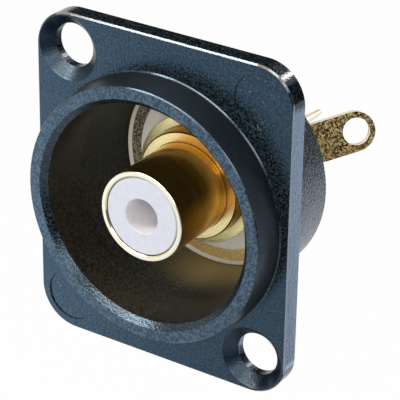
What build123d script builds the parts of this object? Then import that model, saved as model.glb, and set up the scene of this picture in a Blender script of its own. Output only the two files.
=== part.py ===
from build123d import *
from math import cos, radians, sin, tan
import os

os.makedirs("parts", exist_ok=True)

# A phono socket (chassis jack) fixed in a die-cast flange housing for a round panel cut-out.
# Millimetres. The front faces -Y, +X is right as seen from the front and +Z is up.
# The origin is on the socket's axis, in the plane of the flange's rear face, which meets the panel.

# Clearances
fit_clearance = 0.05        # radial play of a turned piece in its hole
wall_clearance = 0.05       # radial play of the floor ring in the cup

# Flange plate of the housing
flange_width = 26.0
flange_height = 31.0
flange_thickness = 1.8
flange_corner_radius = 3.6
flange_front_chamfer = 0.15
flange_rear_chamfer = 0.06

# Fixing holes on one diagonal, and the round tool marks on the other
hole_inset = 3.3            # from each edge of the flange to the hole's centre
hole_diameter = 4.0
countersink_diameter = 6.0
countersink_angle = 90.0
mark_diameter = 4.9
mark_depth = 0.12

# Collar that stands in front of the flange round the mouth of the cup
collar_height = 3.0
collar_rim_diameter = 23.7
collar_draft = 5.0
collar_rim_chamfer = 0.1
collar_base_bevel = 0.12

# Cup, which narrows from the mouth to the floor
mouth_diameter = 20.4
mouth_chamfer = 0.55
floor_diameter = 19.1
floor_depth = 7.5
floor_thickness = 1.35
floor_hole_diameter = 10.0

# Outside of the cup behind the panel
land_diameter = 23.6
land_depth = 1.2
body_front_diameter = 22.6
body_rear_diameter = 21.3
body_rear_chamfer = 0.6

# Ring on the cup floor, with a turned-up lip
ring_thickness = 0.35
ring_lip_height = 0.22
ring_lip_width = 0.3
ring_hole_diameter = 10.4

# Stepped insulating washer between the floor and the socket
spacer_lip_gap = 1.23       # width of the ring's face that stays in view round the spacer
spacer_flange_thickness = 0.4
spacer_boss_diameter = 11.5
spacer_boss_height = 2.4
spacer_spigot_length = 1.6
spacer_edge_chamfer = 0.1

# Flat washer under the socket's flange
flat_washer_diameter = 12.12
flat_washer_thickness = 0.3

# Turned shell of the socket: barrel, flange and hollow stud
barrel_diameter = 8.3
barrel_tip_chamfer = 0.06
barrel_tip_inner_chamfer = 0.1
tip_setback = 0.12
shell_flange_diameter = 10.16
shell_flange_thickness = 1.6
shell_flange_chamfer = 0.1
barrel_wall = 0.49
stud_diameter = 7.5
stud_wall = 1.05
stud_projection = 2.3
stud_end_chamfer = 0.35
bore_step_depth = 1.0

# Front insulator in the barrel
face_recess = 0.08
insulator_face_chamfer = 0.1
pin_hole_diameter = 3.25
pin_hole_chamfer = 0.06
pin_hole_length = 4.0

# Centre contact: slotted spring tines, stop collar, stem and solder cup
contact_bore_diameter = 3.2
contact_bore_length = 7.2
contact_end_wall = 0.8
contact_wall = 0.5
tine_slot_width = 0.35
tine_slot_length = 4.2
tine_count = 4
contact_front_gap = 0.2
stop_diameter = 5.2
stop_thickness = 0.8
stem_diameter = 2.0
solder_cup_bore_diameter = 2.2
solder_cup_wall = 0.35
solder_cup_length = 5.0
solder_cup_floor = 0.5
solder_cup_open_length = 3.6
solder_cup_opening_rounding = 0.5
solder_cup_lip_drop = 0.2   # how far below the axis the two lips end at the tip
solder_cup_lip_slope = 6.0
solder_cup_tip_height = 0.72
solder_cup_cut_back = 0.55  # how far the bottom of the cup ends before its tip
solder_cup_tip_rounding = 0.36
tail_projection = 8.3

# Rear insulator in the stud
rear_insulator_projection = 0.5
rear_insulator_chamfer = 0.25

# Rear stack on the stud: insulating washer, solder tag, nut
rear_washer_diameter = 17.0
rear_washer_thickness = 0.8
rear_washer_chamfer = 0.12
tag_thickness = 0.7
tag_ring_diameter = 12.2
tag_width = 3.66
tag_hole_diameter = 2.5
tag_hole_offset = 0.1       # the wire hole sits this much nearer to the tail's end
tag_bend_start = 6.0
tag_bend_inner_radius = 0.5
tag_bend_angle = 45.0
tag_length = 5.64
tag_direction = 19.4
nut_across_flats = 11.0
nut_thickness = 2.2
nut_corner_chamfer = 0.55
nut_corner_chamfer_height = 0.3

# Stations along the axis, from the front to the rear
flange_front = -flange_thickness
collar_front = flange_front - collar_height
mouth_station = collar_front + mouth_chamfer
shell_tip = collar_front + tip_setback
insulator_face = shell_tip + face_recess
ring_front = floor_depth - ring_thickness
spacer_flange_front = ring_front - spacer_flange_thickness
spacer_front = spacer_flange_front - spacer_boss_height
flat_washer_front = spacer_front - flat_washer_thickness
shell_flange_front = flat_washer_front - shell_flange_thickness
bore_step = shell_flange_front + bore_step_depth
cup_rear = floor_depth + floor_thickness
rear_washer_rear = cup_rear + rear_washer_thickness
tag_rear = rear_washer_rear + tag_thickness
nut_rear = tag_rear + nut_thickness
stud_end = nut_rear + stud_projection
rear_insulator_end = stud_end + rear_insulator_projection
contact_end = rear_insulator_end + tail_projection

# Radii that follow from a fit
stud_hole_radius = stud_diameter / 2 + fit_clearance
ring_radius = floor_diameter / 2 - wall_clearance
spacer_flange_radius = ring_radius - ring_lip_width - spacer_lip_gap
barrel_bore_radius = barrel_diameter / 2 - barrel_wall
stud_bore_radius = stud_diameter / 2 - stud_wall
contact_radius = contact_bore_diameter / 2 + contact_wall
cup_radius = solder_cup_bore_diameter / 2 + solder_cup_wall


# Housing: the flange, the collar, the cup and the wall that carries the socket, cast in one piece.
hole_x = flange_width / 2 - hole_inset
hole_z = flange_height / 2 - hole_inset
collar_base_radius = collar_rim_diameter / 2 + collar_height * tan(radians(collar_draft))
hole_corners = [(-hole_x, hole_z), (hole_x, -hole_z)]
mark_corners = [(hole_x, hole_z), (-hole_x, -hole_z)]
# On this plane the sketch sees the socket from the front: its x is +X, its y is +Z.
front_face = Plane(origin=(0, flange_front, 0), x_dir=(1, 0, 0), z_dir=(0, -1, 0))
rear_face = Plane(origin=(0, 0, 0), x_dir=(1, 0, 0), z_dir=(0, -1, 0))

with BuildPart() as housing:
    with BuildSketch(rear_face):
        RectangleRounded(flange_width, flange_height, flange_corner_radius)
    extrude(amount=flange_thickness)
    chamfer(housing.faces().sort_by(Axis.Y)[0].edges(), length=flange_front_chamfer)
    chamfer(housing.faces().sort_by(Axis.Y)[-1].edges(), length=flange_rear_chamfer)

    # Collar in front and cup body behind, as one turned profile
    with BuildSketch(Plane.XY) as outside:
        with BuildLine():
            Polyline(
                (0, collar_front),
                (collar_rim_diameter / 2, collar_front),
                (collar_base_radius, flange_front - collar_base_bevel),
                (collar_base_radius + collar_base_bevel, flange_front),
                (collar_base_radius + collar_base_bevel, -flange_thickness / 2),
                (land_diameter / 2, -flange_thickness / 2),
                (land_diameter / 2, land_depth),
                (body_front_diameter / 2, land_depth),
                (body_rear_diameter / 2, cup_rear),
                (0, cup_rear),
                close=True,
            )
        make_face()
        rim_corner = outside.vertices().group_by(Axis.Y)[0].sort_by(Axis.X)[-1]
        chamfer(rim_corner, length=collar_rim_chamfer)
        rear_corner = outside.vertices().group_by(Axis.Y)[-1].sort_by(Axis.X)[-1]
        chamfer(rear_corner, length=body_rear_chamfer)
    revolve(axis=Axis.Y)

    # Inside of the cup, with the chamfered mouth
    with BuildSketch(Plane.XY):
        with BuildLine():
            Polyline(
                (0, collar_front - mouth_chamfer),
                (mouth_diameter / 2 + 2 * mouth_chamfer, collar_front - mouth_chamfer),
                (mouth_diameter / 2, mouth_station),
                (floor_diameter / 2, floor_depth),
                (0, floor_depth),
                close=True,
            )
        make_face()
    revolve(axis=Axis.Y, mode=Mode.SUBTRACT)

    # Hole in the floor for the stud and its insulating spigot
    with BuildSketch(Plane(origin=(0, floor_depth, 0), x_dir=(1, 0, 0), z_dir=(0, -1, 0))):
        Circle(floor_hole_diameter / 2)
    extrude(amount=-floor_thickness, mode=Mode.SUBTRACT)

    # Countersunk fixing holes and shallow round tool marks
    with Locations(front_face):
        with Locations(*hole_corners):
            CounterSinkHole(hole_diameter / 2, countersink_diameter / 2, counter_sink_angle=countersink_angle)
    with BuildSketch(front_face):
        with Locations(*mark_corners):
            Circle(mark_diameter / 2)
    extrude(amount=-mark_depth, mode=Mode.SUBTRACT)
housing.part.label = "flange_housing"
export_step(housing.part, "parts/flange_housing.step")


# Ring on the cup floor. Its outer edge is turned up towards the mouth.
with BuildPart() as floor_ring:
    with BuildSketch(Plane.XY):
        with BuildLine():
            Polyline(
                (ring_hole_diameter / 2, floor_depth),
                (ring_hole_diameter / 2, ring_front),
                (ring_radius - ring_lip_width, ring_front),
                (ring_radius - ring_lip_width / 3, ring_front - ring_lip_height),
                (ring_radius, ring_front - ring_lip_height),
                (ring_radius, floor_depth),
                close=True,
            )
        make_face()
    revolve(axis=Axis.Y)
floor_ring.part.label = "floor_ring"
export_step(floor_ring.part, "parts/floor_ring.step")


# Stepped insulating washer: boss in front, wide flange on the ring, spigot in the floor's hole.
with BuildPart() as spacer:
    with BuildSketch(Plane.XY) as spacer_section:
        with BuildLine():
            Polyline(
                (stud_hole_radius, spacer_front),
                (spacer_boss_diameter / 2, spacer_front),
                (spacer_boss_diameter / 2, spacer_flange_front),
                (spacer_flange_radius, spacer_flange_front),
                (spacer_flange_radius, ring_front),
                (floor_hole_diameter / 2 - fit_clearance, ring_front),
                (floor_hole_diameter / 2 - fit_clearance, ring_front + spacer_spigot_length),
                (stud_hole_radius, ring_front + spacer_spigot_length),
                close=True,
            )
        make_face()
        outer_corners = spacer_section.vertices().group_by(Axis.X)[-1]
        chamfer(outer_corners, length=spacer_edge_chamfer)
    revolve(axis=Axis.Y)
spacer.part.label = "insulating_spacer"
export_step(spacer.part, "parts/insulating_spacer.step")


# Flat washer between the spacer and the shell's flange
with BuildPart() as flat_washer:
    with BuildSketch(Plane(origin=(0, spacer_front, 0), x_dir=(1, 0, 0), z_dir=(0, -1, 0))):
        Circle(flat_washer_diameter / 2)
        Circle(stud_hole_radius, mode=Mode.SUBTRACT)
    extrude(amount=flat_washer_thickness)
flat_washer.part.label = "flat_washer"
export_step(flat_washer.part, "parts/flat_washer.step")


# Shell: one turning, from the tip of the barrel to the end of the stud
with BuildPart() as shell:
    with BuildSketch(Plane.XY) as shell_section:
        with BuildLine():
            Polyline(
                (barrel_bore_radius, shell_tip),
                (barrel_diameter / 2, shell_tip),
                (barrel_diameter / 2, shell_flange_front),
                (shell_flange_diameter / 2, shell_flange_front),
                (shell_flange_diameter / 2, flat_washer_front),
                (stud_diameter / 2, flat_washer_front),
                (stud_diameter / 2, stud_end),
                (stud_bore_radius, stud_end),
                (stud_bore_radius, bore_step),
                (barrel_bore_radius, bore_step),
                close=True,
            )
        make_face()
        flange_corners = shell_section.vertices().group_by(Axis.X)[-1]
        chamfer(flange_corners, length=shell_flange_chamfer)
        stud_corner = shell_section.vertices().group_by(Axis.Y)[-1].sort_by(Axis.X)[-1]
        chamfer(stud_corner, length=stud_end_chamfer)
        tip_corners = shell_section.vertices().group_by(Axis.Y)[0].sort_by(Axis.X)
        chamfer(tip_corners[-1], length=barrel_tip_chamfer)
        chamfer(tip_corners[0], length=barrel_tip_inner_chamfer)
    revolve(axis=Axis.Y)
shell.part.label = "jack_shell"
export_step(shell.part, "parts/jack_shell.step")


# Front insulator: closes the barrel and holds the contact's tines in a blind pocket
pocket_radius = contact_radius + fit_clearance
pocket_front = insulator_face + pin_hole_length
with BuildPart() as front_insulator:
    with BuildSketch(Plane.XY) as insulator_section:
        with BuildLine():
            Polyline(
                (pin_hole_diameter / 2, insulator_face),
                (barrel_bore_radius - fit_clearance, insulator_face),
                (barrel_bore_radius - fit_clearance, bore_step),
                (pocket_radius, bore_step),
                (pocket_radius, pocket_front),
                (pin_hole_diameter / 2, pocket_front),
                close=True,
            )
        make_face()
        face_corners = insulator_section.vertices().group_by(Axis.Y)[0].sort_by(Axis.X)
        chamfer(face_corners[-1], length=insulator_face_chamfer)
        chamfer(face_corners[0], length=pin_hole_chamfer)
    revolve(axis=Axis.Y)
front_insulator.part.label = "front_insulator"
export_step(front_insulator.part, "parts/front_insulator.step")


# Centre contact. The stop collar is trapped between the two insulators.
contact_front = pocket_front + contact_front_gap
stop_rear = bore_step + stop_thickness
contact_body_rear = contact_front + contact_bore_length + contact_end_wall
cup_start = contact_end - solder_cup_length
with BuildPart() as contact:
    with BuildSketch(Plane.XY):
        with BuildLine():
            Polyline(
                (contact_bore_diameter / 2, contact_front),
                (contact_radius, contact_front),
                (contact_radius, bore_step),
                (stop_diameter / 2, bore_step),
                (stop_diameter / 2, stop_rear),
                (contact_radius, stop_rear),
                (contact_radius, contact_body_rear),
                (stem_diameter / 2, contact_body_rear),
                (stem_diameter / 2, cup_start),
                (cup_radius, cup_start),
                (cup_radius, contact_end),
                (0, contact_end),
                (0, contact_front + contact_bore_length),
                (contact_bore_diameter / 2, contact_front + contact_bore_length),
                close=True,
            )
        make_face()
    revolve(axis=Axis.Y)

    # Slots that make the spring tines
    slot_plane = Plane(origin=(0, contact_front, 0), x_dir=(1, 0, 0), z_dir=(0, 1, 0))
    with BuildSketch(slot_plane):
        with PolarLocations(0, tine_count // 2, angular_range=180):
            Rectangle(4 * contact_radius, tine_slot_width)
    extrude(amount=tine_slot_length, mode=Mode.SUBTRACT)

    # Solder cup: a blind bore, cut open on top, with its end cut back below
    end_plane = Plane(origin=(0, contact_end, 0), x_dir=(1, 0, 0), z_dir=(0, 1, 0))
    lip_rise = solder_cup_open_length * tan(radians(solder_cup_lip_slope))
    with BuildSketch(end_plane):
        Circle(solder_cup_bore_diameter / 2)
    extrude(amount=solder_cup_floor - solder_cup_length, mode=Mode.SUBTRACT)
    with BuildSketch(Plane.YZ) as cup_opening:
        with BuildLine():
            Polyline(
                (contact_end - solder_cup_open_length, cup_radius),
                (contact_end - solder_cup_open_length, lip_rise - solder_cup_lip_drop),
                (contact_end, -solder_cup_lip_drop),
                (contact_end, -solder_cup_lip_drop - solder_cup_tip_height),
                (contact_end - solder_cup_cut_back, -cup_radius),
                (contact_end + cup_radius, -cup_radius),
                (contact_end + cup_radius, cup_radius),
                close=True,
            )
        make_face()
        inner_corner = cup_opening.vertices().group_by(Axis.X)[0].sort_by(Axis.Y)[0]
        fillet(inner_corner, radius=solder_cup_opening_rounding)
        tip_corners = cup_opening.vertices().sort_by_distance((contact_end, -solder_cup_lip_drop))[:2]
        fillet(tip_corners, radius=solder_cup_tip_rounding)
    extrude(amount=2 * cup_radius, both=True, mode=Mode.SUBTRACT)
contact.part.label = "centre_contact"
export_step(contact.part, "parts/centre_contact.step")


# Rear insulator: a bush in the stud that carries the contact's stem
with BuildPart() as rear_insulator:
    with BuildSketch(Plane.XY) as bush_section:
        with BuildLine():
            Polyline(
                (contact_radius + fit_clearance, stop_rear),
                (stud_bore_radius - fit_clearance, stop_rear),
                (stud_bore_radius - fit_clearance, rear_insulator_end),
                (stem_diameter / 2 + fit_clearance, rear_insulator_end),
                (stem_diameter / 2 + fit_clearance, contact_body_rear),
                (contact_radius + fit_clearance, contact_body_rear),
                close=True,
            )
        make_face()
        bush_corner = bush_section.vertices().group_by(Axis.Y)[-1].sort_by(Axis.X)[-1]
        chamfer(bush_corner, length=rear_insulator_chamfer)
    revolve(axis=Axis.Y)
rear_insulator.part.label = "rear_insulator"
export_step(rear_insulator.part, "parts/rear_insulator.step")


# Insulating washer behind the housing
with BuildPart() as rear_washer:
    with BuildSketch(Plane(origin=(0, cup_rear, 0), x_dir=(1, 0, 0), z_dir=(0, 1, 0))):
        Circle(rear_washer_diameter / 2)
        Circle(stud_hole_radius, mode=Mode.SUBTRACT)
    extrude(amount=rear_washer_thickness)
    outer_edges = rear_washer.edges().filter_by(GeomType.CIRCLE).group_by(SortBy.RADIUS)[-1]
    chamfer(outer_edges, length=rear_washer_chamfer)
rear_washer.part.label = "rear_washer"
export_step(rear_washer.part, "parts/rear_washer.step")


# Solder tag: a ring on the stud with a tail that is bent back from the panel
radial = Vector(cos(radians(tag_direction)), 0, sin(radians(tag_direction)))
across = Vector(-sin(radians(tag_direction)), 0, cos(radians(tag_direction)))
bend_axis_point = radial * tag_bend_start + Vector(0, tag_rear + tag_bend_inner_radius, 0)
mid_bend_radius = tag_bend_inner_radius + tag_thickness / 2
tail_along = radial * cos(radians(tag_bend_angle)) + Vector(0, sin(radians(tag_bend_angle)), 0)
tail_normal = radial * sin(radians(tag_bend_angle)) - Vector(0, cos(radians(tag_bend_angle)), 0)
tail_plane = Plane(origin=bend_axis_point + tail_normal * mid_bend_radius, x_dir=tail_along, z_dir=tail_normal)
with BuildPart() as tag:
    tag_plane = Plane(origin=(0, rear_washer_rear, 0), x_dir=radial, z_dir=(0, 1, 0))
    with BuildSketch(tag_plane):
        Circle(tag_ring_diameter / 2)
        Rectangle(tag_bend_start, tag_width, align=(Align.MIN, Align.CENTER))
        Circle(stud_hole_radius, mode=Mode.SUBTRACT)
    extrude(amount=tag_thickness)
    bend_start_plane = Plane(
        origin=radial * tag_bend_start + Vector(0, rear_washer_rear, 0), x_dir=across, z_dir=-radial
    )
    with BuildSketch(bend_start_plane):
        Rectangle(tag_width, tag_thickness, align=(Align.CENTER, Align.MIN))
    revolve(axis=Axis(bend_axis_point, across), revolution_arc=tag_bend_angle)
    with BuildSketch(tail_plane):
        Rectangle(tag_length, tag_width, align=(Align.MIN, Align.CENTER))
        with Locations((tag_length, 0)):
            Circle(tag_width / 2)
        with Locations((tag_length + tag_hole_offset, 0)):
            Circle(tag_hole_diameter / 2, mode=Mode.SUBTRACT)
    extrude(amount=tag_thickness / 2, both=True)
tag.part.label = "solder_tag"
export_step(tag.part, "parts/solder_tag.step")


# Hexagon nut, its outer corners turned off on both faces
with BuildPart() as nut:
    nut_plane = Plane(origin=(0, tag_rear, 0), x_dir=(1, 0, 0), z_dir=(0, 1, 0))
    with BuildSketch(nut_plane):
        RegularPolygon(nut_across_flats / 2, side_count=6, major_radius=False)
        Circle(stud_hole_radius, mode=Mode.SUBTRACT)
    extrude(amount=nut_thickness)
    nut_corner_radius = nut_across_flats / 2 / cos(radians(30))
    with BuildSketch(Plane.XY):
        with BuildLine():
            Polyline(
                (0, tag_rear),
                (nut_corner_radius - nut_corner_chamfer, tag_rear),
                (nut_corner_radius, tag_rear + nut_corner_chamfer_height),
                (nut_corner_radius, nut_rear - nut_corner_chamfer_height),
                (nut_corner_radius - nut_corner_chamfer, nut_rear),
                (0, nut_rear),
                close=True,
            )
        make_face()
    revolve(axis=Axis.Y, mode=Mode.INTERSECT)
nut.part.label = "hex_nut"
export_step(nut.part, "parts/hex_nut.step")
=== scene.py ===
# %% [markdown]
# # A panel-mount phono socket
# The real object is a gold-plated phono socket, about 30 mm across, in the cup of a black die-cast
# flange. It could be modelled again here, but the packed CAD model has all the shapes already, and
# two models would drift apart. So this script mostly makes finishes, light and the camera. It
# starts by loading the frame, and keeps the box of the bare model, which places the floor below it.

from math import cos, pi, radians, sin

import bpy
from mathutils import Matrix, Vector


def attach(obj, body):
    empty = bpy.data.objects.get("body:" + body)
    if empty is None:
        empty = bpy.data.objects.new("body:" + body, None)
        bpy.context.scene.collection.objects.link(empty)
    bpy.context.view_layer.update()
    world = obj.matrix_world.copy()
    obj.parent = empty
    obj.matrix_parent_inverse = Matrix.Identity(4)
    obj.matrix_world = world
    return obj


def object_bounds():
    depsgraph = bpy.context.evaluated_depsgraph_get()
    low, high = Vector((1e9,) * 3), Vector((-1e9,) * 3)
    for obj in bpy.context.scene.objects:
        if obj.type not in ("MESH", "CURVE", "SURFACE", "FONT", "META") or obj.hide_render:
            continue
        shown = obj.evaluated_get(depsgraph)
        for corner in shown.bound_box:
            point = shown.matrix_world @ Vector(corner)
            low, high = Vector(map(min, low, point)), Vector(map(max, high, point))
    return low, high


MM = 0.001
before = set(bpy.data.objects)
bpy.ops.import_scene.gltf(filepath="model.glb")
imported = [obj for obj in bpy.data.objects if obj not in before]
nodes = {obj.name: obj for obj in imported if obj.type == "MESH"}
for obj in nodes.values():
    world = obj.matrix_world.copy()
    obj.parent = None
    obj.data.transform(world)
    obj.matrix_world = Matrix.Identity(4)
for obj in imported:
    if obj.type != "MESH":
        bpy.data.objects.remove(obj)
cad_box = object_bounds()
scene = bpy.context.scene
print("CAD box in mm:", [[round(v / MM, 2) for v in corner] for corner in cad_box])
print("nodes:", sorted(nodes))


# %% [markdown]
# ## The camera
# The photograph was matched by a pinhole camera, which gives the angles, the distance and the focal
# length. The object's axis is a little beside the middle of the picture. A lens shift could put it
# there, but the camera is moved sideways in its own plane instead: that is what the match gave, and
# the shift stays at zero.

# %% Make the camera
CAMERA_AZIMUTH, CAMERA_ELEVATION, CAMERA_ROLL = radians(32.86), radians(27.35), radians(0.97)
CAMERA_DISTANCE = 176.6 * MM
CAMERA_OFFSET = (2.463 * MM, -0.302 * MM)
FOCAL_PIXELS, PICTURE_WIDTH = 2031, 400
SENSOR_WIDTH = 36

back = Vector((
    sin(CAMERA_AZIMUTH) * cos(CAMERA_ELEVATION),
    -cos(CAMERA_AZIMUTH) * cos(CAMERA_ELEVATION),
    sin(CAMERA_ELEVATION),
))
level_right = Vector((cos(CAMERA_AZIMUTH), sin(CAMERA_AZIMUTH), 0))
level_up = back.cross(level_right)
right = cos(CAMERA_ROLL) * level_right + sin(CAMERA_ROLL) * level_up
up = cos(CAMERA_ROLL) * level_up - sin(CAMERA_ROLL) * level_right

camera_data = bpy.data.cameras.new("camera")
camera_data.sensor_width = SENSOR_WIDTH
camera_data.lens = FOCAL_PIXELS / PICTURE_WIDTH * SENSOR_WIDTH
camera_data.clip_start, camera_data.clip_end = 0.01, 10
camera = bpy.data.objects.new("camera", camera_data)
scene.collection.objects.link(camera)
place = Matrix((right, up, back)).transposed().to_4x4()
place.translation = CAMERA_OFFSET[0] * right + CAMERA_OFFSET[1] * up + CAMERA_DISTANCE * back
camera.matrix_world = place
scene.camera = camera
print("lens", round(camera_data.lens, 1), "mm at", [round(v, 4) for v in place.translation])


# %% [markdown]
# ## Sums of nodes
# Finishes are long sums of noises and masks, and as bare nodes they are hard to read. A function
# for each kind of sum would help a little. `Wire` goes further: it wraps a node's output and takes
# Python's own operators, so that `1 - mask` or `height * 0.3` adds the Math node it needs.

# %% Wire
class Wire:
    """A node's output that Python's operators work on."""

    def __init__(self, finish, socket):
        self.finish, self.socket = finish, socket

    def __add__(self, other):
        return self.finish.math("ADD", self, other)

    def __radd__(self, other):
        return self.finish.math("ADD", other, self)

    def __sub__(self, other):
        return self.finish.math("SUBTRACT", self, other)

    def __rsub__(self, other):
        return self.finish.math("SUBTRACT", other, self)

    def __mul__(self, other):
        return self.finish.math("MULTIPLY", self, other)

    def __rmul__(self, other):
        return self.finish.math("MULTIPLY", other, self)

    def __pow__(self, other):
        return self.finish.math("POWER", self, other)

    def __gt__(self, other):
        return self.finish.math("GREATER_THAN", self, other)

    def __lt__(self, other):
        return self.finish.math("LESS_THAN", self, other)


print("a wire takes + - * ** > <")


# %% [markdown]
# ## One way to make a node
# `Tree` is the node tree of a material or of the world. Each type of node could have a method of
# its own, but then every new type needs one more. So `add` makes them all: it takes the type, the
# settings and what goes into the sockets, which is a number, a colour (red, green, blue) or a wire.

# %% Tree
class Tree:
    """A node tree with one main shader."""

    def __init__(self, name, kind="materials", shader_type="BSDF_PRINCIPLED", **constants):
        self.block = getattr(bpy.data, kind).new(name)
        self.block.use_nodes = True
        self.tree = self.block.node_tree
        self.shader = self.find(shader_type)
        self.paint(**constants)

    def find(self, node_type):
        return next(node for node in self.tree.nodes if node.type == node_type)

    def add(self, kind, settings=None, inputs=None, output=0):
        node = self.tree.nodes.new(kind)
        for name, value in (settings or {}).items():
            setattr(node, name, value)
        for name, value in (inputs or {}).items():
            self.feed(node.inputs[name], value)
        return Wire(self, node.outputs[output])

    def feed(self, socket, value):
        if isinstance(value, Wire):
            self.tree.links.new(value.socket, socket)
        elif socket.type == "RGBA":
            socket.default_value = (*value, 1)
        else:
            socket.default_value = value

    def paint(self, **values):
        """Feeds the main shader's own sockets."""
        for socket, value in values.items():
            self.feed(self.shader.inputs[socket.replace("_", " ")], value)

    def math(self, operation, *values):
        return self.add("ShaderNodeMath", {"operation": operation}, dict(enumerate(values)))


print("a tree makes nodes with add, math and paint")


# %% [markdown]
# ## Words for surfaces
# `Finish` adds the words that surfaces are described with below: places in millimetres, noises,
# soft steps, coats of colour, and a bump. Real edges are never quite sharp and catch the light. The
# meshes could be bevelled for that, but the CAD meshes stay as they are here, so a Bevel node turns
# the normals near an edge and leaves the shape alone.

# %% Finish
class Finish(Tree):
    """A material, and the nodes that its looks are built from."""

    def place_mm(self):
        """The point on the surface, in millimetres in the model's frame."""
        point = self.add("ShaderNodeTexCoord", output="Object")
        return self.add("ShaderNodeVectorMath", {"operation": "SCALE"}, {0: point, "Scale": 1 / MM})

    def parts(self, vector):
        """The three numbers of a vector."""
        return [self.add("ShaderNodeSeparateXYZ", {}, {0: vector}, axis) for axis in range(3)]

    def noise(self, vector, scale, detail=2.0, roughness=0.5):
        inputs = {"Vector": vector, "Scale": scale, "Detail": detail, "Roughness": roughness}
        return self.add("ShaderNodeTexNoise", {}, inputs)

    def ramp(self, value, low, high, out_low=0.0, out_high=1.0):
        """Takes low..high to out_low..out_high smoothly, and holds the ends."""
        inputs = {"Value": value, "From Min": low, "From Max": high, "To Min": out_low, "To Max": out_high}
        return self.add("ShaderNodeMapRange", {"interpolation_type": "SMOOTHSTEP"}, inputs)

    def mix(self, factor, a, b):
        return self.add("ShaderNodeMix", {"data_type": "RGBA"}, {0: factor, 6: a, 7: b}, output=2)

    def coat(self, colour, *layers):
        """Lays further colours over one, in turn; each layer is a mask and a colour."""
        for mask, layer in layers:
            colour = self.mix(mask, colour, layer)
        return colour

    def facing(self, direction, least):
        """1 where the surface faces a direction to within the given cosine."""
        inputs = {0: self.add("ShaderNodeTexCoord", output="Normal"), 1: direction}
        return self.add("ShaderNodeVectorMath", {"operation": "DOT_PRODUCT"}, inputs, "Value") > least

    def bump(self, height, depth_mm, rounding_mm):
        """The normal of a fine relief that lies over slightly rounded edges."""
        soft_edge = self.add("ShaderNodeBevel", {"samples": 6}, {"Radius": rounding_mm * MM})
        inputs = {"Height": height, "Distance": depth_mm * MM, "Strength": 1.0, "Normal": soft_edge}
        return self.add("ShaderNodeBump", {}, inputs)


print("a finish knows", [word for word in vars(Finish) if not word.startswith("_")])


# %% [markdown]
# ## Zones of the casting
# Flange, collar and cup are one zinc casting under one lacquer, but the lacquer looks different
# inside the cup, on the collar's wall, on the chamfers and on the plate's narrow sides. Part of that
# is roughness, and part is painted light: a painted reflection inside the cup, painted shade on the
# collar's wall and in the countersinks, and a painted sheen and painted highlights on the rim and
# the front edges. Masks could be painted, or the mesh split into material slots. Here each mask is
# worked out from the place in the model and from the way the surface faces: that needs no image,
# keeps the mesh whole, and every seam falls on a real edge.

# %% Masks for the housing
CUP_RADIUS, MOUTH_CHAMFER_RADIUS, COLLAR_RADIUS, COLLAR_FOOT_RADIUS = 10.22, 10.9, 11.86, 13
RIM_STATION, MOUTH_STATION, COLLAR_FOOT_STATION = -4.75, -4.2, -1.95
FRONT_STATION, PANEL_STATION, FLOOR_STATION = -1.62, 0.3, 8.0
# The fourth size on the next line is where the painted highlight on the plate's right-hand front edge
# starts.
SIDE_WIDE, SIDE_HIGH, SIDE_CORNER, HIGHLIGHT_EDGE_X = 12.9, 15.4, 24.8, 12.86
HOLE_WIDE, HOLE_HIGH, HOLE_REACH = 9.7, 12.2, 3.02
FRONT, TOP_CHAMFER = (0, -1, 0), (0.15, -0.707, 0.69)


def from_axis(x, z):
    """The distance from the Y axis, which is the socket's own."""
    return (x * x + z * z) ** 0.5


lacquer = Finish("glossy_black_lacquer", IOR=1.5, Specular_Tint=(0.55, 0.79, 1.0))
point = lacquer.place_mm()
x, y, z = lacquer.parts(point)
radius = from_axis(x, z)
wide, high = lacquer.math("ABSOLUTE", x), lacquer.math("ABSOLUTE", z)
inside = (radius < CUP_RADIUS) * (y > MOUTH_STATION) * (y < FLOOR_STATION)
behind = y > PANEL_STATION
in_front = y < FRONT_STATION
off_collar = radius > COLLAR_FOOT_RADIUS
collar_wall = (radius > COLLAR_RADIUS) * (y < COLLAR_FOOT_STATION)
slanted = lacquer.facing(FRONT, 0.55) * (1 - lacquer.facing(FRONT, 0.85))
chamfer = slanted * in_front * (radius > MOUTH_CHAMFER_RADIUS)
countersink = slanted * (from_axis(wide - HOLE_WIDE, high - HOLE_HIGH) < HOLE_REACH)
# The plate's top front chamfer, where a highlight is painted.
top_chamfer_highlight = lacquer.facing(TOP_CHAMFER, 0.9) * in_front * off_collar
outer = ((wide > SIDE_WIDE) + (high > SIDE_HIGH) + (wide + high > SIDE_CORNER)) > 0.5
side_wall = outer * (y > FRONT_STATION) * (1 - behind)
print("nodes for the masks:", len(lacquer.tree.nodes))


# %% [markdown]
# ## The lacquer
# The lacquer is glossy and blue-black, so its mirror tint is blue, and the casting's grain shows
# through it. The grain could be displaced in the mesh, but it is only hundredths of a millimetre
# deep: a noise in a bump node breaks the reflections up into the same specks. Inside the cup the
# lacquer is duller, and its brown-black colour is a painted reflection of the gold parts; they also
# cast a golden bloom on it. Bounced light alone comes out too weak for that, so the bloom is mixed
# into the colour as well.

# %% Housing finish
GRAIN_DEPTH, COARSE_GRAIN, EDGE_ROUNDING = 0.027, 5.0, 0.06

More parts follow.
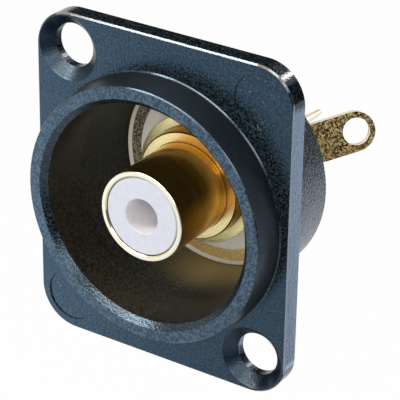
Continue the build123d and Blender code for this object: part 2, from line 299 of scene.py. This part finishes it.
grain = lacquer.noise(point, 4.5, 2.0, 0.6)
coarse = lacquer.noise(point, 3.4, 2.0, 0.7)
fine = lacquer.ramp(lacquer.noise(point, 4.5, 2.0, 0.8), 0.44, 0.58)
specks = lacquer.ramp(lacquer.noise(point, 5.0, 1.0), 0.70, 0.76)
bloom = lacquer.ramp(y, 1.0, 7.0) * lacquer.ramp(0.6 * x - 0.8 * z, 3.0, 9.0)
outside_colour = lacquer.coat(
    lacquer.mix(fine, (0.000, 0.001, 0.001), (0.018, 0.028, 0.036)),
    # Painted sheen: the rim's front face is painted a lighter blue for the light it reflects.
    (y < RIM_STATION, lacquer.mix(fine, (0.010, 0.016, 0.022), (0.058, 0.082, 0.106))),
    (specks, (0.14, 0.16, 0.17)),
    # Painted highlight: a light blue line along the plate's right-hand front edge.
    ((x > HIGHLIGHT_EDGE_X) * in_front, (0.22, 0.26, 0.32)),
    # Painted shade: the collar's wall is painted nearly black.
    (0.85 * collar_wall, (0.002, 0.002, 0.002)),
    # Painted highlight: a warm pale line along the plate's top front chamfer.
    (top_chamfer_highlight, (0.26, 0.20, 0.15)),
    # Painted shade: the countersinks are painted darker and bluer.
    (countersink, (0.004, 0.009, 0.018)),
)
# Inside the cup: the brown-black is a painted reflection of the gold parts, with a random mottle, and the
# golden bloom is painted light as well.
inside_colour = lacquer.coat(
    lacquer.mix(fine, (0.000, 0.000, 0.000), (0.046, 0.042, 0.032)),
    (0.4 * lacquer.noise(point, 0.7), (0.012, 0.012, 0.009)),
    (bloom, (0.38, 0.29, 0.12)),
)
smoother = 0.6 * inside + 0.6 * side_wall
height = (grain * (1 - smoother) * (1 - behind) + COARSE_GRAIN * coarse * behind) * (1 - chamfer)
shinier = chamfer * off_collar * (1 - countersink) + side_wall
duller = 0.14 * countersink + 0.16 * inside + 0.24 * collar_wall * (1 - chamfer)
lacquer.paint(
    Base_Color=lacquer.mix(inside, outside_colour, inside_colour),
    Roughness=lacquer.ramp(grain, 0.3, 0.7, 0.14, 0.26) * (1 - 0.6 * shinier) + duller,
    Normal=lacquer.bump(height, GRAIN_DEPTH, EDGE_ROUNDING),
)
print("lacquer nodes:", len(lacquer.tree.nodes))


# %% [markdown]
# ## Polished gold
# The socket's turned parts are bright gold plate. Flat faces and the barrel's nose are painted paler,
# as a painted reflection and a painted highlight. Turning leaves marks that run round the axis. A
# wave texture could draw them, but its rings are too even. A noise of two numbers only, the radius
# and the place along the axis, gives rings on a face and bands on a barrel. Where two parts meet,
# the ambient occlusion node finds the angle between them by itself, and painted shade makes a dark
# line there.

# %% Bright gold
CORNER_REACH, NOSE_STATION, MARK_DEPTH = 0.22, -4.42, 0.006


def turned(finish, point, scale):
    """Concentric turning marks: a noise that doesn't change round the Y axis."""
    x, y, z = finish.parts(point)
    axial = finish.add("ShaderNodeCombineXYZ", {}, {0: from_axis(x, z), 1: y, 2: 0.0})
    return finish.noise(axial, scale, 3.0, 0.6)


def corner_shade(finish, own=False):
    """A mask for painted shade: 0 in the corner where two surfaces meet, 1 on open surfaces; `own` leaves
    other parts out.
    """
    settings = {"samples": 6, "only_local": own}
    open_sky = finish.add("ShaderNodeAmbientOcclusion", settings, {"Distance": CORNER_REACH * MM}, "AO")
    return finish.ramp(open_sky, 0.45, 0.85)


bright_gold = Finish("polished_gold_plate", Metallic=1.0)
point = bright_gold.place_mm()
x, y, z = bright_gold.parts(point)
marks = turned(bright_gold, point, 6.0)
smears = bright_gold.noise(point, 1.2, 3.0)
pits = bright_gold.ramp(bright_gold.noise(point, 4.5, 2.0, 0.7), 0.40, 0.65)
flat = bright_gold.facing(FRONT, 0.9)
gold_colour = bright_gold.coat(
    bright_gold.mix(smears, (0.96, 0.62, 0.15), (0.90, 0.52, 0.10)),
    (y > FLOOR_STATION, bright_gold.mix(smears, (0.95, 0.70, 0.27), (0.90, 0.61, 0.19))),
    # Painted reflection: faces turned to the front are painted paler.
    (flat, bright_gold.mix(pits, (0.80, 0.54, 0.24), (0.70, 0.45, 0.16))),
    # Painted highlight: the barrel's nose is painted pale cream.
    (y < NOSE_STATION, (0.77, 0.61, 0.42)),
)
bright_gold.paint(
    # Painted shade: darker where the ambient occlusion node finds a nearby surface.
    Base_Color=bright_gold.mix(corner_shade(bright_gold), (0.16, 0.09, 0.02), gold_colour),
    Roughness=bright_gold.ramp(marks, 0.3, 0.75, 0.12, 0.26) + 0.12 * flat,
    Normal=bright_gold.bump(marks, MARK_DEPTH, EDGE_ROUNDING),
)
print("bright gold nodes:", len(bright_gold.tree.nodes))


# %% [markdown]
# ## Dull gold
# The ring on the cup's floor and the tag are stamped from sheet and plated dull, over a spotted
# ground. They could be two separate materials, but they differ only in their tones, so one
# function makes both. Their edges get a painted pale highlight, and are found in two ways: the
# ring's turned-up lip by its radius, and the tag's sheared edge by facing neither way that the
# sheet does. Both get painted shade in their inner angles, and the ring is painted darker on one
# side.

# %% Ring and tag
PLATE_DEPTH, PLATE_ROUNDING = 0.045, 0.08
RING_LIP_RADIUS, TAG_NORMAL = 9.2, (0.667, -0.707, 0.235)


def dull_plate(name, metallic, light, dark, tarnished, edge_mask, edge_highlight, edge_metallic, shaded_side=None):
    """Matt gold plate over a stamped, spotted ground, with painted highlights on its edges, painted shade
    in its inner angles and, if given, one painted shaded side.
    """
    finish = Finish(name)
    point = finish.place_mm()
    edge = edge_mask(finish, point)
    grain = finish.noise(point, 4.5, 2.0, 0.65)
    spots = finish.ramp(finish.noise(point, 4.5, 2.0, 0.8), 0.44, 0.58)
    tarnish = finish.ramp(finish.noise(point, 0.8, 3.0), 0.4, 0.7, 0.0, 0.5)
    colour = finish.mix(tarnish, finish.mix(spots, dark, light), tarnished)
    # Painted shade: the ring is painted darker towards its upper left, where 0.8 z - 0.6 x is large.
    if shaded_side:
        x, y, z = finish.parts(point)
        colour = finish.mix(finish.ramp(0.8 * z - 0.6 * x, -8, 6), colour, finish.mix(spots, *shaded_side))
    # Painted shade: darker where the ambient occlusion node finds a nearby surface of the same part.
    colour = finish.mix(corner_shade(finish, own=True), (0.10, 0.07, 0.03), colour)
    finish.paint(
        # Painted highlight: the edges are painted pale, for the light they catch.
        Base_Color=finish.mix(edge, colour, edge_highlight),
        Metallic=metallic * (1 - edge) + edge_metallic * edge,
        Roughness=finish.ramp(grain, 0.3, 0.7, 0.30, 0.52),
        Normal=finish.bump(grain * (1 - 0.8 * edge), PLATE_DEPTH, PLATE_ROUNDING),
    )
    return finish


def ring_lip(finish, point):
    x, y, z = finish.parts(point)
    return from_axis(x, z) > RING_LIP_RADIUS


def sheared_edge(finish, point):
    other_side = tuple(-v for v in TAG_NORMAL)
    return 1 - (finish.facing(TAG_NORMAL, 0.5) + finish.facing(other_side, 0.5))


ring_gold = dull_plate(
    "matt_ring_gold", metallic=0.1,
    light=(1.00, 0.80, 0.38), dark=(0.88, 0.60, 0.22), tarnished=(1.00, 0.72, 0.28),
    edge_mask=ring_lip, edge_highlight=(1.00, 0.97, 0.84), edge_metallic=0.0,
    # The last pair is the ring's painted shade: darker, duller spots.
    shaded_side=((0.05, 0.045, 0.03), (0.42, 0.38, 0.27)),
)
tag_gold = dull_plate(
    "matt_tag_gold", metallic=1.0,
    light=(0.50, 0.38, 0.18), dark=(0.03, 0.02, 0.008), tarnished=(0.20, 0.14, 0.05),
    edge_mask=sheared_edge, edge_highlight=(0.84, 0.80, 0.67), edge_metallic=0.3,
)
print("dull gold:", ring_gold.block.name, "and", tag_gold.block.name)


# %% [markdown]
# ## Plastics and the contact
# The insulators are white, a little translucent and satin. The stepped washer under the socket is
# light grey, and the one behind the panel is black. A plain colour would look like paper, because
# turned or moulded plastic always has faint rings and a faint mottle. The contact's pale gold is
# just as quiet, so it is made in the same way. The wall of the hole for the plug's pin is painted a
# warmer, lighter colour: painted light, for the light caught between its white walls.

# %% Quiet finishes
POCKET_RADIUS, POCKET_END = 1.64, 6
POCKET_LIT_COLOURS = (0.90, 0.88, 0.91), (0.85, 0.83, 0.86)


def quiet(name, light, dark, rough, depth=0.004, **constants):
    """A satin finish with faint rings, a faint mottle and painted light in the pin's hole."""
    finish = Finish(name, **constants)
    point = finish.place_mm()
    x, y, z = finish.parts(point)
    pocket = (from_axis(x, z) < POCKET_RADIUS) * (y < POCKET_END)
    marks = turned(finish, point, 4.0)
    mottle = finish.ramp(finish.noise(point, 1.5, 4.0), 0.3, 0.7)
    # Painted light: the pin's hole is painted lighter and warmer than the rest.
    pocket_lit_colour = finish.mix(mottle, *POCKET_LIT_COLOURS)
    finish.paint(
        Base_Color=finish.mix(pocket, finish.mix(mottle, light, dark), pocket_lit_colour),
        Roughness=finish.ramp(marks, 0.3, 0.7, rough - 0.06, rough + 0.08),
        Normal=finish.bump(marks, depth, EDGE_ROUNDING),
    )
    return finish


white_plastic = quiet(
    "satin_white_plastic", (0.60, 0.61, 0.68), (0.565, 0.575, 0.645), 0.38,
    Subsurface_Weight=0.15, Subsurface_Scale=0.4 * MM,
)
grey_plastic = quiet("light_grey_plastic", (0.97, 0.95, 0.85), (0.89, 0.87, 0.77), 0.42)
black_plastic = quiet("black_fibre", (0.018, 0.018, 0.020), (0.028, 0.028, 0.030), 0.5, depth=0.01)
contact_gold = quiet(
    "pale_contact_gold", (0.76, 0.68, 0.47), (0.68, 0.59, 0.37), 0.30, depth=0.002, Metallic=1.0,
)
print("quiet finishes:", [f.block.name for f in (white_plastic, grey_plastic, black_plastic, contact_gold)])


# %% [markdown]
# ## The thread on the stud
# In the CAD model the stud is a plain cylinder at the thread's mean size, but what sticks out
# behind the nut shows as a thread on the real socket. A Screw modifier could make it from a
# profile. Writing the helix out point by point is as short, and lets both ends fade into the stud.
# The ridge's root is sunk in the stud, so no gap can open between them.

# %% Stud thread
THREAD_PITCH, THREAD_ROOT, THREAD_CREST = 0.75, 3.68, 3.98
THREAD_START, THREAD_END = 12.60, 14.40
ROOT_HALF, CREST_HALF = 0.46, 0.07  # half of the ridge's width, in pitches
SEGMENTS_PER_TURN, FADE_TURNS = 96, 0.25


def thread_ridge(name, start, end, root, crest, pitch):
    """A closed ridge with a flat crest, wound round the Y axis and tapered at both ends."""
    turns = (end - start) / pitch
    steps = int(turns * SEGMENTS_PER_TURN)
    fade = FADE_TURNS * SEGMENTS_PER_TURN
    verts, faces = [], []
    for i in range(steps + 1):
        angle = 2 * pi * turns * i / steps
        along = start + (end - start) * i / steps
        top = root + (crest - root) * min(1.0, i / fade, (steps - i) / fade)
        for r, shift in ((root, -ROOT_HALF), (top, -CREST_HALF), (top, CREST_HALF), (root, ROOT_HALF)):
            verts.append((r * MM * cos(angle), (along + shift * pitch) * MM, r * MM * sin(angle)))
    for i in range(steps):
        a, b = 4 * i, 4 * i + 4
        faces += [(a + k, a + (k + 1) % 4, b + (k + 1) % 4, b + k) for k in range(4)]
    faces += [(3, 2, 1, 0), (4 * steps, 4 * steps + 1, 4 * steps + 2, 4 * steps + 3)]
    mesh = bpy.data.meshes.new(name)
    mesh.from_pydata(verts, [], faces)
    mesh.validate()
    piece = bpy.data.objects.new(name, mesh)
    scene.collection.objects.link(piece)
    return piece


stud_thread = thread_ridge("stud_thread", THREAD_START, THREAD_END, THREAD_ROOT, THREAD_CREST, THREAD_PITCH)
stud_thread.data.materials.append(bright_gold.block)
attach(stud_thread, "root")
print("thread faces:", len(stud_thread.data.polygons))


# %% [markdown]
# ## Finishes on the CAD nodes
# Every separate part of the real socket is a node of the CAD model. The meshes could be rebuilt
# with new material slots, but each node keeps its mesh as it is and only gets a new material in all
# its slots, which can't move a face by accident.

# %% Dress the nodes
DRESS = {
    "flange_housing": lacquer,
    "floor_ring": ring_gold,
    "solder_tag": tag_gold,
    "insulating_spacer": grey_plastic,
    "flat_washer": bright_gold,
    "jack_shell": bright_gold,
    "centre_contact": contact_gold,
    "hex_nut": bright_gold,
    "front_insulator": white_plastic,
    "rear_insulator": white_plastic,
    "rear_washer": black_plastic,
}
for name, finish in DRESS.items():
    mesh = nodes[name].data
    if not mesh.materials:
        mesh.materials.append(finish.block)
    for slot in range(len(mesh.materials)):
        mesh.materials[slot] = finish.block
print("dressed", len(DRESS), "of", len(nodes), "nodes")


# %% [markdown]
# ## The floor
# The photograph is a cut-out on white. The part is held above a pale floor that is far enough below
# for its shadow to fall outside the picture. The floor could be left out, but then nothing lights
# the part from below and there is no shadow at all. So it is a real surface, and a Mix Shader shows
# it as plain white to the camera and in reflections. `SHOWN` is the share of plain white; the rest
# keeps the shadow.

# %% Make the floor
FLOOR_DROP, FLOOR_SIZE = 90 * MM, 3.0
SHOWN = 0.97
WHITE = (1, 1, 1)


def seen_as_backdrop(finish):
    """1 for rays from the camera, from gloss and through glass, and 0 for light that spreads."""
    camera_ray, glossy_ray, clear_ray = (
        finish.add("ShaderNodeLightPath", output=name)
        for name in ("Is Camera Ray", "Is Glossy Ray", "Is Transmission Ray")
    )
    return finish.math("MINIMUM", camera_ray + glossy_ray + clear_ray, 1.0)


floor_finish = Finish("pale_floor", Roughness=0.8, Base_Color=(0.85, 0.85, 0.85))
white = floor_finish.add("ShaderNodeEmission", {}, {"Color": WHITE, "Strength": 1.0}, "Emission")
surface = Wire(floor_finish, floor_finish.shader.outputs[0])
shown = seen_as_backdrop(floor_finish) * SHOWN
mixed = floor_finish.add("ShaderNodeMixShader", {}, {0: shown, 1: surface, 2: white}, "Shader")
floor_finish.feed(floor_finish.find("OUTPUT_MATERIAL").inputs["Surface"], mixed)

bpy.ops.mesh.primitive_plane_add(size=FLOOR_SIZE, location=(0, 0, cad_box[0].z - FLOOR_DROP))
floor = bpy.context.object
floor.name = "floor"
floor.data.materials.append(floor_finish.block)
print("floor at z =", round(floor.location.z / MM, 1), "mm")


# %% [markdown]
# ## The world
# Above the floor the world is the backdrop. A white world would do, but as a light from all sides
# it washes out the shading that the lamps give. So it is plain white only to the camera and in
# reflections, and less than half as strong as a light.

# %% Make the world
WORLD_LIGHT = 0.45

studio = Finish("studio", "worlds", "BACKGROUND", Color=WHITE)
studio.paint(Strength=studio.ramp(seen_as_backdrop(studio), 0, 1, WORLD_LIGHT, 1.0))
scene.world = studio.block
scene.view_settings.view_transform = "Standard"
print("world:", scene.world.name, "as a light:", WORLD_LIGHT)


# %% [markdown]
# ## Lamps
# Black lacquer has hardly a colour of its own: what it shows is the room. A picture of a studio all
# round could be that room, but it can't be fitted to one photograph. So the light is planned by
# mirror directions: for each face of the part, the view direction is mirrored at its normal, and a
# lamp is put there. `level` is a lamp's brightness in a mirror, where the white backdrop is 1. Four
# lamps light the part: the key, the fill and two for the cup and the front. Of these only the key
# shows in reflections too, and all the others are seen in gloss alone.

# %% Make the lamps
NEUTRAL, WINDOW_BLUE = (1.0, 0.98, 0.96), (0.60, 0.80, 1.0)


def aim(item, direction, distance):
    """Puts an item at a distance from the origin, with its face to the part."""
    toward = Vector(direction).normalized()
    item.location = toward * distance
    item.rotation_euler = toward.to_track_quat("Z", "Y").to_euler()


def lamp(name, direction, distance, size, level, colour, diffuse=False, gloss=True):
    data = bpy.data.lights.new(name, "AREA")
    data.shape, data.size, data.size_y = "RECTANGLE", size[0], size[1]
    data.energy, data.color = level * pi * size[0] * size[1], colour
    item = bpy.data.objects.new(name, data)
    scene.collection.objects.link(item)
    aim(item, direction, distance)
    item.visible_camera = False
    item.visible_diffuse, item.visible_glossy = diffuse, gloss


lamp("key", (-0.48, -0.46, 0.75), 0.40, (0.09, 0.09), 28, NEUTRAL, diffuse=True)
lamp("fill", (0.50, -0.72, 0.48), 0.50, (0.20, 0.20), 3, (1.0, 0.99, 0.98), diffuse=True, gloss=False)
lamp("cup_light", (0.0, -0.87, 0.50), 0.42, (0.10, 0.10), 12, (1.0, 0.95, 0.86), diffuse=True, gloss=False)
lamp("front_light", (-0.10, -0.95, -0.28), 0.42, (0.10, 0.10), 20, NEUTRAL, diffuse=True, gloss=False)
lamp("edge_strip", (-0.04, -0.58, 0.80), 0.40, (0.30, 0.07), 20, (1.0, 0.88, 0.78))
lamp("rim_light", (0.58, -0.66, 0.46), 0.50, (0.14, 0.20), 8, NEUTRAL)
lamp("window", (-0.52, -0.73, -0.42), 0.10, (0.08, 0.07), 1.65, WINDOW_BLUE)
lamp("window_left", (-0.68, -0.61, -0.41), 0.11, (0.03, 0.07), 1.6, WINDOW_BLUE)
lamp("right_low", (0.44, 0.76, -0.47), 0.15, (0.053, 0.074), 2.2, (0.56, 0.73, 1.0))
lamp("back_patch", (0.11, 0.79, 0.60), 0.40, (0.20, 0.13), 30, (1.0, 0.78, 0.74))


# %% [markdown]
# ## Black cards
# Where the photograph shows a dark reflection, the white backdrop has to be hidden from that face.
# The backdrop could be darkened in parts, but it is also what the camera sees. A photographer holds
# up a black card, and so does this step: each card stands in the mirror direction of one face, is
# seen in reflections only, and takes no light from the part.

# %% Make the cards
CARD_SHADE = (0.02, 0.02, 0.02)


def card(name, direction, distance, size):
    bpy.ops.mesh.primitive_plane_add(size=1.0)
    item = bpy.context.object
    item.name = name
    aim(item, direction, distance)
    item.scale = (size[0], size[1], 1)
    finish = Finish(name + "_card", Roughness=0.9, Base_Color=CARD_SHADE)
    item.data.materials.append(finish.block)
    item.visible_camera = item.visible_shadow = item.visible_diffuse = False
    return name


cards = [
    card("top_card", (-0.25, 0.76, 0.54), 0.35, (0.40, 0.22)),
    card("corner_card", (0.655, 0.745, 0.087), 0.35, (0.14, 0.11)),
    card("front_card", (-0.42, -0.78, -0.45), 0.12, (0.18, 0.09)),
    card("low_card", (-0.48, 0.46, -0.75), 0.09, (0.06, 0.06)),
    card("tag_card", (0.80, -0.60, 0.0), 0.20, (0.16, 0.14)),
    card("collar_card", (0.66, 0.58, -0.46), 0.14, (0.05, 0.06)),
    card("body_card", (0.46, 0.87, 0.14), 0.35, (0.26, 0.20)),
]
print("cards:", cards)
